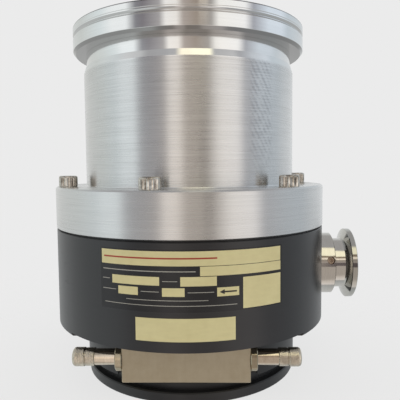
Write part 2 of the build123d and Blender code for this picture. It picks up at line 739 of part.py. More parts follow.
with BuildPart() as base_housing_screws:
    with BuildSketch(Plane.XY.offset(21.5)):
        with PolarLocations(34.0, 6, start_angle=30.0):
            Circle(4.25)
    extrude(amount=5.0)
    with BuildSketch(Plane.XY.offset(26.5)):
        with PolarLocations(34.0, 6, start_angle=30.0):
            Circle(2.45)
    extrude(amount=14.5)
    with BuildSketch(Plane.XY.offset(21.5)):
        with PolarLocations(34.0, 6, start_angle=30.0):
            RegularPolygon(2.3, 6)
    extrude(amount=2.5, mode=Mode.SUBTRACT)
base_housing_screws.part.label = "base_housing_screws"
export_step(base_housing_screws.part, "parts/base_housing_screws.step")

# bottom rim with its spigot, O-ring groove, screw holes and fixing holes
with BuildPart() as base_plate:
    with BuildSketch(Plane.XZ):
        with BuildLine():
            Polyline(
                (0, 0), (PLATE_R - 0.5, 0), (PLATE_R, 0.5), (PLATE_R, PLATE_RIM_Z - 0.5),
                (PLATE_R - 0.5, PLATE_RIM_Z), (GROOVE_R, PLATE_RIM_Z), (GROOVE_R, BASE_Z),
                (44.3, BASE_Z), (44.3, 7.3), (41.7, 7.3), (41.7, BASE_Z),
                (39.8, BASE_Z), (39.8, 10.5), (39.4, 10.9), (0, 10.9),
                close=True,
            )
        make_face()
    revolve(axis=Axis.Z)
    with BuildSketch(Plane.XY):
        with Locations(*plate_screw_spots):
            Circle(4.75)
    extrude(amount=5.6, mode=Mode.SUBTRACT)
    with BuildSketch(Plane.XY.offset(5.6)):
        with Locations(*plate_screw_spots):
            Circle(2.75)
    extrude(amount=4.0, mode=Mode.SUBTRACT)
    with BuildSketch(Plane.XY):
        with PolarLocations(33.0, 4, start_angle=45.0):
            Circle(3.0)
    extrude(amount=9.0, mode=Mode.SUBTRACT)
base_plate.part.label = "base_plate"
export_step(base_plate.part, "parts/base_plate.step")

with BuildPart() as base_oring:
    with BuildSketch(Plane.XZ):
        with Locations((43.0, 8.45)):
            Circle(1.1)
    revolve(axis=Axis.Z)
base_oring.part.label = "base_oring"
export_step(base_oring.part, "parts/base_oring.step")

with BuildPart() as base_plate_screws:
    with BuildSketch(Plane.XY.offset(0.6)):
        with Locations(*plate_screw_spots):
            Circle(4.25)
    extrude(amount=5.0)
    with BuildSketch(Plane.XY.offset(5.6)):
        with Locations(*plate_screw_spots):
            Circle(2.45)
    extrude(amount=15.0)
    with BuildSketch(Plane.XY.offset(0.6)):
        with Locations(*plate_screw_spots):
            RegularPolygon(2.3, 6)
    extrude(amount=2.5, mode=Mode.SUBTRACT)
base_plate_screws.part.label = "base_plate_screws"
export_step(base_plate_screws.part, "parts/base_plate_screws.step")

# ---------------------------------------------------------------- cooling block
with BuildPart() as water_block:
    with Locations((0, (BLOCK_FRONT + BLOCK_BACK) / 2, (BLOCK_Z0 + BLOCK_Z1) / 2)):
        Box(2 * BLOCK_HALF, BLOCK_BACK - BLOCK_FRONT, BLOCK_Z1 - BLOCK_Z0)
    chamfer(water_block.edges(), 0.35)
    with BuildSketch(Plane.YZ.offset(-BLOCK_HALF)):
        with Locations((BARB_Y, BARB_Z)):
            Circle(3.0)
    extrude(amount=2 * BLOCK_HALF, mode=Mode.SUBTRACT)
    for x0, depth in ((-BLOCK_HALF, 8.0), (BLOCK_HALF, -8.0)):
        with BuildSketch(Plane.YZ.offset(x0)):
            with Locations((BARB_Y, BARB_Z)):
                Circle(4.0)
        extrude(amount=depth, mode=Mode.SUBTRACT)
    with BuildSketch(Plane.XZ.offset(-BLOCK_BACK)):
        with Locations((-22.0, 14.6), (22.0, 14.6)):
            Circle(2.0)
    extrude(amount=9.0, mode=Mode.SUBTRACT)
water_block.part.label = "water_block"
export_step(water_block.part, "parts/water_block.step")

with BuildPart() as water_block_screws:
    with BuildSketch(Plane.XZ.offset(33.0)):
        with Locations((-22.0, 14.6), (22.0, 14.6)):
            Circle(3.5)
    extrude(amount=4.0)
    with BuildSketch(Plane.XZ.offset(37.0)):
        with Locations((-22.0, 14.6), (22.0, 14.6)):
            Circle(1.95)
    extrude(amount=16.5)
water_block_screws.part.label = "water_block_screws"
export_step(water_block_screws.part, "parts/water_block_screws.step")

# hose barbs: threaded end, shoulder, tube, barb ring and rounded end ring
BARB_AXIS = Axis((0, BARB_Y, BARB_Z), (1, 0, 0))
for side, barb_name in ((-1, "hose_barb_left"), (1, "hose_barb_right")):
    with BuildPart() as hose_barb:
        with BuildSketch(Plane.XZ.offset(-BARB_Y)):
            with BuildLine():
                Polyline(
                    *[
                        (side * x, BARB_Z + r)
                        for x, r in (
                            (23.4, 2.2), (23.4, 3.6), (23.8, 3.95), (31.0, 3.95), (31.0, 6.5),
                            (31.4, 6.9), (34.0, 6.9), (34.4, 6.5), (34.4, 3.95), (44.8, 3.95),
                            (44.8, 4.1), (45.1, 4.4), (49.2, 4.4), (49.5, 4.1), (49.9, 4.1),
                            (49.9, 4.35), (50.15, 4.6), (54.35, 4.6), (55.1, 4.35), (55.6, 3.8),
                            (55.8, 3.1), (55.8, 2.2),
                        )
                    ],
                    close=True,
                )
            make_face()
        revolve(axis=BARB_AXIS)
    hose_barb.part.label = barb_name
    export_step(hose_barb.part, f"parts/{barb_name}.step")

# ---------------------------------------------------------------- socket
SOCKET_AXIS = Axis((0, 0, SOCKET_Z), (0, 1, 0))
with BuildPart() as connector_shell:
    with BuildSketch(Plane.YZ):
        with BuildLine():
            Polyline(
                *[
                    (y, SOCKET_Z + r)
                    for y, r in (
                        (48.0, 6.0), (48.0, 8.5), (60.4, 8.5), (60.4, 7.0), (63.4, 7.0), (63.4, 6.8),
                        (64.2, 7.2), (73.0, 7.2), (73.6, 6.6), (73.6, 6.0),
                    )
                ],
                close=True,
            )
        make_face()
    revolve(axis=SOCKET_AXIS)
    with BuildSketch(Plane.XZ.offset(-58.0)):
        with Locations((0, SOCKET_Z)):
            RectangleRounded(24.0, 19.4, 2.0)
            Circle(7.0, mode=Mode.SUBTRACT)
            with GridLocations(19.6, 14.0, 2, 2):
                Circle(1.35, mode=Mode.SUBTRACT)
    extrude(amount=-2.4)
connector_shell.part.label = "connector_shell"
export_step(connector_shell.part, "parts/connector_shell.step")

pin_spots = [(0.0, 0.0)] + [
    (3.6 * math.cos(math.radians(60 * k)), 3.6 * math.sin(math.radians(60 * k))) for k in range(6)
]
with BuildPart() as connector_insert:
    with BuildSketch(Plane.XZ.offset(-50.0)):
        with Locations((0, SOCKET_Z)):
            Circle(5.95)
            with Locations(*pin_spots):
                Circle(0.62, mode=Mode.SUBTRACT)
    extrude(amount=-12.6)
connector_insert.part.label = "connector_insert"
export_step(connector_insert.part, "parts/connector_insert.step")

with BuildPart() as connector_pins:
    with BuildSketch(Plane.XZ.offset(-47.0)):
        with Locations((0, SOCKET_Z)):
            with Locations(*pin_spots):
                Circle(0.6)
    extrude(amount=-21.0)
connector_pins.part.label = "connector_pins"
export_step(connector_pins.part, "parts/connector_pins.step")

with BuildPart() as connector_screws:
    with BuildSketch(Plane.XZ.offset(-60.4)):
        with Locations((0, SOCKET_Z)):
            with GridLocations(19.6, 14.0, 2, 2):
                Circle(2.0)
    extrude(amount=-1.8)
    with BuildSketch(Plane.XZ.offset(-51.6)):
        with Locations((0, SOCKET_Z)):
            with GridLocations(19.6, 14.0, 2, 2):
                Circle(1.2)
    extrude(amount=-8.8)
    with BuildSketch(Plane.XZ.offset(-62.2)):
        with Locations((0, SOCKET_Z)):
            with GridLocations(19.6, 14.0, 2, 2):
                RegularPolygon(0.9, 6)
    extrude(amount=1.1, mode=Mode.SUBTRACT)
connector_screws.part.label = "connector_screws"
export_step(connector_screws.part, "parts/connector_screws.step")

# ---------------------------------------------------------------- name plates
# thin curved plates on the front of the body; angles run from -Y towards +X
PLATE_IN, PLATE_OUT = BODY_R + 0.01, BODY_R + 0.12
for plate_name, a0, a1, z0, z1 in (
    ("nameplate_main", -30.5, 36.6, 50.2, 78.2),
    ("nameplate_lower", -16.7, 17.8, 36.8, 47.4),
):
    azimuth = math.radians(a0 - 90.0)
    edge_plane = Plane(
        origin=(0, 0, 0),
        x_dir=(math.cos(azimuth), math.sin(azimuth), 0),
        z_dir=(math.sin(azimuth), -math.cos(azimuth), 0),
    )
    with BuildPart() as nameplate:
        with BuildSketch(edge_plane):
            with Locations(((PLATE_IN + PLATE_OUT) / 2, (z0 + z1) / 2)):
                Rectangle(PLATE_OUT - PLATE_IN, z1 - z0)
        revolve(axis=Axis.Z, revolution_arc=a1 - a0)
    nameplate.part.label = plate_name
    export_step(nameplate.part, f"parts/{plate_name}.step")
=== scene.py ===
import math

import bmesh
import bpy
from mathutils import Matrix, Vector


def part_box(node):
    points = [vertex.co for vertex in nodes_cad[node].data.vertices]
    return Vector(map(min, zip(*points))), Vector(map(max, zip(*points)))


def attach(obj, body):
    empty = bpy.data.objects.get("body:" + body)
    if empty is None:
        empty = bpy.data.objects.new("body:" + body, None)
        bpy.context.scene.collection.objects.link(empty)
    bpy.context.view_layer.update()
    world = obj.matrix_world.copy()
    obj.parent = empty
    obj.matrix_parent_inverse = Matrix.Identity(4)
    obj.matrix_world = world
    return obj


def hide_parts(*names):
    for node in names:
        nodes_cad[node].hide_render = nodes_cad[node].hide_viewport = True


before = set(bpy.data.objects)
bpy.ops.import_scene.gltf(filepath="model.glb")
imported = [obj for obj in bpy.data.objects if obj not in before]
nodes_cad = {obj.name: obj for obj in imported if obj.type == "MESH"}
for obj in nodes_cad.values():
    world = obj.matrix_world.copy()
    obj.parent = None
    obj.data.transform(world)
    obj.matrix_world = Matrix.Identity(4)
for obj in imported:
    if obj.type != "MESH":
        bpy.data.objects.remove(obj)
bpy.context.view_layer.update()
scene = bpy.context.scene
scene.view_settings.view_transform = "Standard"
scene.view_settings.look = "None"
MM = 0.001

# ------------------------------------------------------------------ camera
# 285 mm in front of the axis, just above the collar, looking slightly down
TURN = math.radians(1.7)
YAW, PITCH, ROLL = math.radians(0.23), math.radians(3.94), math.radians(-0.54)
fwd = Vector((math.sin(YAW) * math.cos(PITCH), math.cos(YAW) * math.cos(PITCH), -math.sin(PITCH)))
right = Vector((math.cos(YAW), -math.sin(YAW), 0.0))
up = right.cross(fwd)
cam_right = math.cos(ROLL) * right + math.sin(ROLL) * up
cam_up = -math.sin(ROLL) * right + math.cos(ROLL) * up
spin = Matrix.Rotation(TURN, 3, "Z")
cam_data = bpy.data.cameras.new("camera")
camera = bpy.data.objects.new("camera", cam_data)
scene.collection.objects.link(camera)
cam_data.sensor_width = 36.0
cam_data.lens = 480.3 * 36.0 / 400.0
cam_data.clip_start = 0.005
cam_data.clip_end = 50.0
rot = Matrix((cam_right, cam_up, -fwd)).transposed()
rot = spin @ rot
place = spin @ Vector((4.75 * MM, -285.0 * MM, 0.0))
camera.matrix_world = Matrix.Translation((place.x, place.y, 114.6 * MM)) @ rot.to_4x4()
scene.camera = camera


# ------------------------------------------------------------------ helpers
def lin(rgb, gain=1.0):
    return tuple(gain * (c / 255 / 12.92 if c <= 10 else ((c / 255 + 0.055) / 1.055) ** 2.4) for c in rgb)


def link(name, verts, faces, mats=()):
    mesh = bpy.data.meshes.new(name)
    mesh.from_pydata([tuple(v) for v in verts], [], faces)
    for m in mats:
        mesh.materials.append(m)
    obj = bpy.data.objects.new(name, mesh)
    scene.collection.objects.link(obj)
    return obj


def tidy(obj, angle=32.0, merge=1e-7):
    """Joined doubles, outward normals, smooth faces with sharp edges kept."""
    bm = bmesh.new()
    bm.from_mesh(obj.data)
    bmesh.ops.remove_doubles(bm, verts=bm.verts, dist=merge)
    bmesh.ops.dissolve_degenerate(bm, edges=bm.edges, dist=merge)
    bmesh.ops.recalc_face_normals(bm, faces=bm.faces)
    for f in bm.faces:
        f.smooth = True
    bm.to_mesh(obj.data)
    bm.free()
    obj.data.set_sharp_from_angle(angle=math.radians(angle))
    return obj


class Tree:
    """A short way to write shader node trees."""

    def __init__(self, name):
        self.mat = bpy.data.materials.new(name)
        self.mat.use_nodes = True
        self.t = self.mat.node_tree
        self.t.nodes.clear()
        self.out = self.t.nodes.new("ShaderNodeOutputMaterial")
        self.bsdf = self.t.nodes.new("ShaderNodeBsdfPrincipled")
        self.t.links.new(self.bsdf.outputs[0], self.out.inputs["Surface"])

    def put(self, socket, value):
        if isinstance(value, bpy.types.NodeSocket):
            self.t.links.new(value, socket)
        elif isinstance(value, (tuple, list)) and len(value) == 3 and socket.type == "RGBA":
            socket.default_value = (*value, 1.0)
        else:
            socket.default_value = value

    def node(self, kind, outs=0, **inputs):
        n = self.t.nodes.new(kind)
        for k, v in inputs.items():
            if k.startswith("p_"):
                setattr(n, k[2:], v)
        for k, v in inputs.items():
            if not k.startswith("p_"):
                self.put(n.inputs[int(k[1:])] if k[0] == "i" and k[1:].isdigit() else n.inputs[k], v)
        return n.outputs[outs]

    def math(self, op, a, b=0.0, c=None):
        n = self.t.nodes.new("ShaderNodeMath")
        n.operation = op
        self.put(n.inputs[0], a)
        self.put(n.inputs[1], b)
        if c is not None:
            self.put(n.inputs[2], c)
        return n.outputs[0]

    def mix(self, fac, a, b):
        n = self.t.nodes.new("ShaderNodeMix")
        n.data_type = "RGBA"
        self.put(n.inputs[0], fac)
        self.put(n.inputs[6], a)
        self.put(n.inputs[7], b)
        return n.outputs[2]

    def lerp(self, fac, a, b):
        n = self.t.nodes.new("ShaderNodeMapRange")
        self.put(n.inputs[0], fac)
        self.put(n.inputs[3], a)
        self.put(n.inputs[4], b)
        return n.outputs[0]

    def xyz(self):
        co = self.node("ShaderNodeTexCoord", 3)
        n = self.t.nodes.new("ShaderNodeSeparateXYZ")
        self.put(n.inputs[0], co)
        return n.outputs[0], n.outputs[1], n.outputs[2]

    def vec(self, x, y, z):
        return self.node("ShaderNodeCombineXYZ", 0, i0=x, i1=y, i2=z)

    def noise(self, vector, scale=1.0, detail=2.0, rough=0.5, lac=2.0):
        n = self.t.nodes.new("ShaderNodeTexNoise")
        self.put(n.inputs["Vector"], vector)
        n.inputs["Scale"].default_value = scale
        n.inputs["Detail"].default_value = detail
        n.inputs["Roughness"].default_value = rough
        n.inputs["Lacunarity"].default_value = lac
        return n.outputs[0]

    def ramp(self, fac, stops):
        n = self.t.nodes.new("ShaderNodeValToRGB")
        e = n.color_ramp.elements
        while len(e) < len(stops):
            e.new(0.5)
        for el, (p, c) in zip(e, stops):
            el.position = p
            el.color = (*c, 1.0) if len(c) == 3 else c
        self.put(n.inputs[0], fac)
        return n.outputs[0]

    def bump(self, height, distance, strength=1.0, normal=None):
        n = self.t.nodes.new("ShaderNodeBump")
        n.inputs["Strength"].default_value = strength
        n.inputs["Distance"].default_value = distance
        self.put(n.inputs["Height"], height)
        if normal is not None:
            self.put(n.inputs["Normal"], normal)
        return n.outputs[0]

    def rings(self, axis="Z", centre=(0.0, 0.0, 0.0)):
        """(distance from the axis, place along it, angle round it), in metres and radians."""
        x, y, z = self.xyz()
        x = self.math("SUBTRACT", x, centre[0])
        y = self.math("SUBTRACT", y, centre[1])
        z = self.math("SUBTRACT", z, centre[2])
        if axis == "Z":
            p, q, s = x, y, z
        elif axis == "X":
            p, q, s = y, z, x
        else:
            p, q, s = z, x, y
        r = self.math("SQRT", self.math("ADD", self.math("MULTIPLY", p, p), self.math("MULTIPLY", q, q)))
        return r, s, self.math("ARCTAN2", q, p)


def turned_metal(name, color, dark, rough, rough_var, line=2600.0, line_bump=0.00001, aniso=0.0, axis="Z", centre=(0, 0, 0), chatter=0.0, stain=0.35, tangent=None):
    t = Tree(name)
    b = t.bsdf
    r, s, a = t.rings(axis, centre)
    fine = t.noise(t.vec(t.math("MULTIPLY", r, line), t.math("MULTIPLY", s, line), t.math("MULTIPLY", a, 1.3)), 1.0, 3.0, 0.6)
    broad = t.noise(t.vec(t.math("MULTIPLY", r, line * 0.12), t.math("MULTIPLY", s, line * 0.12), t.math("MULTIPLY", a, 0.8)), 1.0, 2.0, 0.5)
    blot = t.noise(t.node("ShaderNodeTexCoord", 3), 38.0, 4.0, 0.6)
    tone = t.math("ADD", t.math("MULTIPLY", fine, 0.55), t.math("MULTIPLY", broad, 0.45))
    tone = t.math("ADD", t.math("MULTIPLY", tone, 1.0 - stain), t.math("MULTIPLY", blot, stain))
    b.inputs["Metallic"].default_value = 1.0
    t.put(b.inputs["Base Color"], t.ramp(tone, [(0.30, dark), (0.68, color)]))
    t.put(b.inputs["Roughness"], t.lerp(t.math("ADD", t.math("MULTIPLY", fine, 0.5), t.math("MULTIPLY", blot, 0.5)), rough - rough_var, rough + rough_var))
    height = t.math("ADD", t.math("MULTIPLY", fine, 1.0), t.math("MULTIPLY", broad, 0.8))
    normal = t.bump(height, line_bump)
    if chatter:
        wave = t.noise(t.vec(t.math("MULTIPLY", a, 46.0), t.math("MULTIPLY", s, 420.0), t.math("MULTIPLY", r, 420.0)), 1.0, 1.0, 0.5)
        normal = t.bump(wave, chatter, 1.0, normal)
    t.put(b.inputs["Normal"], normal)
    if aniso:
        b.inputs["Anisotropic"].default_value = aniso
        b.inputs["Anisotropic Rotation"].default_value = 0.25
        tan = t.t.nodes.new("ShaderNodeTangent")
        tan.direction_type = "RADIAL"
        tan.axis = tangent or axis
        t.put(b.inputs["Tangent"], tan.outputs[0])
    return t.mat


def coated(name, color, light, rough, rough_var, grain=900.0, grain_bump=0.000012, spec=0.5, scuff=0.25, coat=0.0):
    """Black anodise, paint or moulded plastic: fine grain, faint mottling and scuffs."""
    t = Tree(name)
    b = t.bsdf
    co = t.node("ShaderNodeTexCoord", 3)
    g = t.noise(co, grain, 3.0, 0.6)
    m = t.noise(co, 30.0, 5.0, 0.65)
    scr = t.noise(t.node("ShaderNodeMapping", 0, Vector=co, Scale=(60.0, 60.0, 900.0)), 1.0, 2.0, 0.7)
    tone = t.math("ADD", t.math("MULTIPLY", m, 0.7), t.math("MULTIPLY", scr, 0.3))
    t.put(b.inputs["Base Color"], t.ramp(tone, [(0.35, color), (0.75, light)]))
    wear = t.math("MULTIPLY", t.math("GREATER_THAN", scr, 0.68), scuff)
    t.put(b.inputs["Roughness"], t.math("ADD", t.lerp(t.math("ADD", t.math("MULTIPLY", m, 0.6), t.math("MULTIPLY", g, 0.4)), rough - rough_var, rough + rough_var), t.math("MULTIPLY", wear, 0.3)))
    b.inputs["Specular IOR Level"].default_value = spec
    if coat:
        b.inputs["Coat Weight"].default_value = coat
        b.inputs["Coat Roughness"].default_value = 0.12
    t.put(b.inputs["Normal"], t.bump(g, grain_bump))
    return t.mat


def sintered(name, color, dark, rough, metallic, grain=700.0, depth=0.00002):
    t = Tree(name)
    b = t.bsdf
    co = t.node("ShaderNodeTexCoord", 3)
    g = t.noise(co, grain, 4.0, 0.7)
    m = t.noise(co, 55.0, 4.0, 0.6)
    t.put(b.inputs["Base Color"], t.ramp(t.math("ADD", t.math("MULTIPLY", g, 0.45), t.math("MULTIPLY", m, 0.55)), [(0.32, dark), (0.68, color)]))
    b.inputs["Metallic"].default_value = metallic
    t.put(b.inputs["Roughness"], t.lerp(g, rough - 0.07, rough + 0.07))
    t.put(b.inputs["Normal"], t.bump(g, depth))
    return t.mat


# ------------------------------------------------------------------ materials
def block_metal():
    """Dull nickel plate over milled metal: faint upright mill lines, mottled."""
    t = Tree("block_nickel")
    b = t.bsdf
    x, y, z = t.xyz()
    co = t.node("ShaderNodeTexCoord", 3)
    mill = t.noise(t.vec(t.math("MULTIPLY", x, 520.0), t.math("MULTIPLY", y, 520.0), t.math("MULTIPLY", z, 70.0)), 1.0, 3.0, 0.6)
    mott = t.noise(co, 210.0, 4.0, 0.7)
    big = t.noise(co, 24.0, 2.0, 0.5)
    tone = t.math("ADD", t.math("ADD", t.math("MULTIPLY", mill, 0.20), t.math("MULTIPLY", mott, 0.45)), t.math("MULTIPLY", big, 0.35))
    t.put(b.inputs["Base Color"], t.ramp(tone, [(0.28, (0.385, 0.325, 0.225)), (0.72, (0.49, 0.425, 0.315))]))
    b.inputs["Metallic"].default_value = 0.7
    t.put(b.inputs["Roughness"], t.lerp(mott, 0.40, 0.56))
    t.put(b.inputs["Normal"], t.bump(t.math("ADD", mill, t.math("MULTIPLY", mott, 0.7)), 0.00003))
    return t.mat


def barb_metal():
    """Bright nickel about a crosswise axis, with a rolled pattern on the last ring."""
    t = Tree("barb_nickel")
    b = t.bsdf
    r, s, a = t.rings("X", (0.0, -0.055, 0.0218))
    far = t.math("GREATER_THAN", t.math("ABSOLUTE", s), 0.0447)
    fine = t.noise(t.vec(t.math("MULTIPLY", s, 3200.0), t.math("MULTIPLY", r, 3200.0), t.math("MULTIPLY", a, 1.5)), 1.0, 3.0, 0.6)
    blot = t.noise(t.node("ShaderNodeTexCoord", 3), 240.0, 4.0, 0.65)
    tone = t.math("ADD", t.math("MULTIPLY", fine, 0.4), t.math("MULTIPLY", blot, 0.6))
    plain = t.ramp(tone, [(0.32, (0.60, 0.51, 0.40)), (0.68, (0.80, 0.71, 0.59))])
    worn = t.ramp(tone, [(0.34, (0.46, 0.41, 0.33)), (0.64, (0.74, 0.68, 0.57))])
    b.inputs["Metallic"].default_value = 1.0
    nut = t.math("LESS_THAN", t.math("ABSOLUTE", s), 0.0347)
    t.put(b.inputs["Base Color"], t.mix(nut, t.mix(far, plain, worn), t.ramp(tone, [(0.32, (0.36, 0.31, 0.22)), (0.68, (0.50, 0.44, 0.33))])))
    t.put(b.inputs["Roughness"], t.math("ADD", t.lerp(blot, 0.10, 0.18), t.math("MULTIPLY", far, 0.08)))
    cell = t.noise(t.vec(t.math("MULTIPLY", s, 1500.0), t.math("MULTIPLY", a, 7.0), t.math("MULTIPLY", r, 1500.0)), 1.0, 1.0, 0.5)
    normal = t.bump(t.math("MULTIPLY", cell, far), 0.00014)
    t.put(b.inputs["Normal"], t.bump(fine, 0.000004, 1.0, normal))
    return t.mat


def port_metal():
    """Bright turned stainless about a crosswise axis; the clamping rim is a little duller and greyer."""
    t = Tree("port_stainless")
    b = t.bsdf
    r, s, a = t.rings("X", (0.0, 0.0, 0.0573))
    fine = t.noise(t.vec(t.math("MULTIPLY", r, 2600.0), t.math("MULTIPLY", s, 2600.0), t.math("MULTIPLY", a, 1.6)), 1.0, 3.0, 0.6)
    blot = t.noise(t.node("ShaderNodeTexCoord", 3), 60.0, 4.0, 0.6)
    tone = t.math("ADD", t.math("MULTIPLY", fine, 0.6), t.math("MULTIPLY", blot, 0.4))
    rim = t.node("ShaderNodeMapRange", 0, i0=s, i1=0.0884, i2=0.0890)
    bright = t.ramp(tone, [(0.32, (0.62, 0.595, 0.55)), (0.68, (0.74, 0.715, 0.67))])
    shade_and_dull = t.ramp(tone, [(0.32, (0.50, 0.49, 0.45)), (0.68, (0.62, 0.61, 0.57))])
    b.inputs["Metallic"].default_value = 1.0
    t.put(b.inputs["Base Color"], t.mix(rim, bright, shade_and_dull))
    t.put(b.inputs["Roughness"], t.lerp(blot, 0.06, 0.13))
    t.put(b.inputs["Normal"], t.bump(fine, 0.000002))
    return t.mat


def screw_metal():
    """Dulled steel mottled with brown oil."""
    t = Tree("screw_steel")
    b = t.bsdf
    co = t.node("ShaderNodeTexCoord", 3)
    g = t.noise(co, 900.0, 3.0, 0.65)
    m = t.noise(co, 260.0, 3.0, 0.6)
    tone = t.math("ADD", t.math("MULTIPLY", g, 0.4), t.math("MULTIPLY", m, 0.6))
    t.put(b.inputs["Base Color"], t.ramp(tone, [(0.34, (0.25, 0.22, 0.175)), (0.62, (0.76, 0.72, 0.66))]))
    b.inputs["Metallic"].default_value = 1.0
    t.put(b.inputs["Roughness"], t.lerp(m, 0.10, 0.22))
    t.put(b.inputs["Normal"], t.bump(g, 0.00001))
    return t.mat


def label_film(name, light, dark, gloss):
    """Printed film: even colour with a faint mottle and rub marks."""
    t = Tree(name)
    b = t.bsdf
    co = t.node("ShaderNodeTexCoord", 3)
    m = t.noise(co, 90.0, 4.0, 0.6)
    rub = t.noise(t.node("ShaderNodeMapping", 0, Vector=co, Scale=(120.0, 120.0, 700.0)), 1.0, 2.0, 0.6)
    t.put(b.inputs["Base Color"], t.ramp(t.math("ADD", t.math("MULTIPLY", m, 0.7), t.math("MULTIPLY", rub, 0.3)), [(0.34, dark), (0.66, light)]))
    t.put(b.inputs["Roughness"], t.lerp(rub, gloss - 0.05, gloss + 0.08))
    b.inputs["Specular IOR Level"].default_value = 0.5
    t.put(b.inputs["Normal"], t.bump(m, 0.00001))
    return t.mat


def envelope_metal():
    """One turned aluminium piece: polished flange and neck, satin cylinder and collar, chatter on one side."""
    t = Tree("envelope_turned")
    b = t.bsdf
    r, s, a = t.rings("Z")
    b.inputs["Metallic"].default_value = 1.0
    b.inputs["Anisotropic"].default_value = 0.90
    b.inputs["Anisotropic Rotation"].default_value = 0.25
    tan = t.t.nodes.new("ShaderNodeTangent")
    tan.direction_type = "RADIAL"
    tan.axis = "Z"
    t.put(b.inputs["Tangent"], tan.outputs[0])

    def step(v, lo, hi):
        return t.node("ShaderNodeMapRange", 0, p_interpolation_type="SMOOTHSTEP", i0=v, i1=lo, i2=hi)

    polished = step(s, 0.1655, 0.1668)
    satin = t.math("SUBTRACT", 1.0, polished)
    fine = t.noise(t.vec(t.math("MULTIPLY", r, 2300.0), t.math("MULTIPLY", s, 2300.0), t.math("MULTIPLY", a, 1.6)), 1.0, 3.0, 0.65)
    streak = t.noise(t.vec(t.math("MULTIPLY", r, 1050.0), t.math("MULTIPLY", s, 1050.0), t.math("MULTIPLY", a, 3.0)), 1.0, 2.0, 0.6)
    cut = t.noise(t.vec(t.math("MULTIPLY", r, 900.0), t.math("MULTIPLY", s, 900.0), t.math("MULTIPLY", a, 0.35)), 1.0, 0.0, 0.5)
    lines = t.node("ShaderNodeMapRange", 0, i0=t.math("ABSOLUTE", t.math("SUBTRACT", cut, 0.5)), i1=0.0, i2=0.022, i3=1.0, i4=0.0)
    sparse = step(t.noise(t.vec(t.math("MULTIPLY", s, 150.0), t.math("MULTIPLY", r, 150.0), t.math("MULTIPLY", a, 1.6)), 1.0, 1.0, 0.5), 0.46, 0.60)
    lines = t.math("MULTIPLY", t.math("MULTIPLY", lines, sparse), satin)
    blot = t.noise(t.node("ShaderNodeTexCoord", 3), 26.0, 4.0, 0.6)
    tone = t.math("ADD", t.math("ADD", t.math("MULTIPLY", fine, 0.60), t.math("MULTIPLY", streak, 0.20)), t.math("MULTIPLY", blot, 0.20))
    # the collar was faced with a finer cut than the cylinder
    calm = t.math("ADD", 0.68, t.math("MULTIPLY", step(s, 0.1055, 0.1065), 0.32))
    tone = t.math("ADD", 0.5, t.math("MULTIPLY", t.math("SUBTRACT", tone, 0.5), calm))
    col = t.ramp(tone, [(0.31, (0.60, 0.60, 0.595)), (0.69, (0.815, 0.815, 0.81))])
    col = t.mix(t.math("MULTIPLY", lines, 0.22), col, (0.42, 0.40, 0.38))
    # the tool sang on the right of the cylinder and left a ripple there
    side = t.math("MULTIPLY", step(a, -1.044, -0.966), t.math("SUBTRACT", 1.0, step(a, -0.809, -0.722)))
    side = t.math("MULTIPLY", side, t.math("MULTIPLY", step(s, 0.108, 0.128), satin))
    drift = t.noise(t.vec(t.math("MULTIPLY", a, 14.0), t.math("MULTIPLY", s, 240.0), 0.0), 1.0, 2.0, 0.6)
    row = t.math("ADD", t.math("MULTIPLY", s, 2850.0), t.math("MULTIPLY", drift, 5.0))
    hatch = t.math("MULTIPLY", t.math("SINE", t.math("ADD", row, t.math("MULTIPLY", a, 52.0))), t.math("SINE", t.math("SUBTRACT", t.math("MULTIPLY", s, 1500.0), t.math("MULTIPLY", a, 66.0))))
    ripple = t.math("ADD", t.math("MULTIPLY", hatch, 0.30), t.math("ADD", 0.5, t.math("MULTIPLY", t.math("SUBTRACT", drift, 0.5), 1.2)))
    col = t.mix(t.math("MULTIPLY", side, t.node("ShaderNodeMapRange", 0, i0=ripple, i1=0.38, i2=0.82)), col, (0.53, 0.53, 0.535))
    shine = t.ramp(tone, [(0.30, (0.80, 0.80, 0.79)), (0.70, (0.88, 0.88, 0.87))])
    col = t.mix(polished, col, shine)
    # painted shade: darker grey painted under the flange, in its groove and along its top corner
    under_flange_shade = t.math("MULTIPLY", step(s, 0.17662, 0.17668), t.math("SUBTRACT", 1.0, step(s, 0.17800, 0.17818)))
    groove_shade = t.math("MULTIPLY", step(s, 0.18515, 0.18540), t.math("SUBTRACT", 1.0, step(s, 0.18640, 0.18650)))
    top_edge_shade = t.math("MULTIPLY", step(s, 0.18985, 0.18995), t.math("GREATER_THAN", r, 0.0640))
    shade_and_dull = t.math("MAXIMUM", t.math("MAXIMUM", t.math("MULTIPLY", under_flange_shade, 0.74), t.math("MULTIPLY", groove_shade, 0.32)), t.math("MULTIPLY", top_edge_shade, 0.78))
    # the painted shade colour is mixed into those three places
    t.put(b.inputs["Base Color"], t.mix(shade_and_dull, col, (0.16, 0.15, 0.145)))
    rough_satin = t.lerp(t.math("ADD", t.math("MULTIPLY", streak, 0.6), t.math("MULTIPLY", blot, 0.4)), 0.21, 0.35)
    rough_polish = t.lerp(blot, 0.07, 0.13)
    t.put(b.inputs["Roughness"], t.math("ADD", t.math("MULTIPLY", rough_satin, satin), t.math("MULTIPLY", rough_polish, polished)))
    normal = t.bump(t.math("MULTIPLY", ripple, side), 0.00007)
    grain = t.math("ADD", t.math("MULTIPLY", fine, 1.0), t.math("MULTIPLY", streak, 0.6))
    grain = t.math("SUBTRACT", t.math("MULTIPLY", grain, t.math("ADD", t.math("MULTIPLY", satin, 0.96), 0.04)), t.math("MULTIPLY", lines, 0.5))
    grain = t.math("MULTIPLY", grain, calm)
    t.put(b.inputs["Normal"], t.bump(grain, 0.000014, 1.0, normal))
    return t.mat


